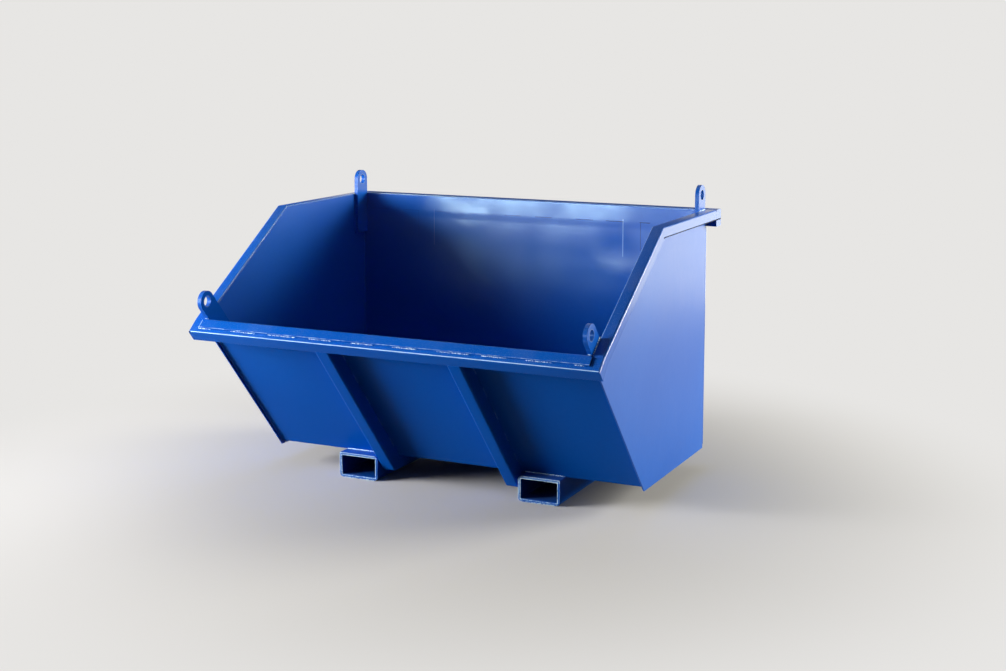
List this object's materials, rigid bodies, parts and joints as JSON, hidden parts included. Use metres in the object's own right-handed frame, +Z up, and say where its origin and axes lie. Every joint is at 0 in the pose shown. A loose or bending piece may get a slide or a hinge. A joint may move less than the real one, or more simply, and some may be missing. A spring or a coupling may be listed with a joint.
{
  "type": "waste hopper container",
  "caption": "Open-topped welded steel waste hopper with a raked front wall, folded rims, fork pockets under its floor and crane lugs in its corners.",
  "frame": {"origin": "middle of the footprint, level with the undersides of the fork pockets", "axes": "+X along the container to the right seen from the raked front, +Y from the raked front to the upright back wall, +Z up"},
  "size_m": [1.83, 1.4193, 1.277],
  "materials": {
    "shell_paint": "glossy blue enamel over flat sheet",
    "frame_paint": "glossy blue enamel over folded rims, rail, ribs and bearers",
    "pocket_paint": "glossy blue enamel, worn at the cut ends",
    "lug_paint": "glossy blue enamel over thick flat bar"
  },
  "bodies": {
    "root": {"floor_plate": "shell_paint", "front_wall": "shell_paint", "back_wall": "shell_paint", "side_plate_left": "shell_paint", "side_plate_right": "shell_paint", "front_rim": "frame_paint", "side_rim_left": "frame_paint", "side_rim_right": "frame_paint", "rear_rail": "frame_paint", "rear_rail_cap_left": "frame_paint", "rear_rail_cap_right": "frame_paint", "front_rib_left": "frame_paint", "front_rib_right": "frame_paint", "floor_bearer_left": "frame_paint", "floor_bearer_right": "frame_paint", "rear_stiffener_left": "frame_paint", "rear_stiffener_right": "frame_paint", "fork_pocket_left": "pocket_paint", "fork_pocket_right": "pocket_paint", "rear_lug_left": "lug_paint", "rear_lug_right": "lug_paint", "front_lug_left": "lug_paint", "front_lug_right": "lug_paint"}
  },
  "joints": []
}
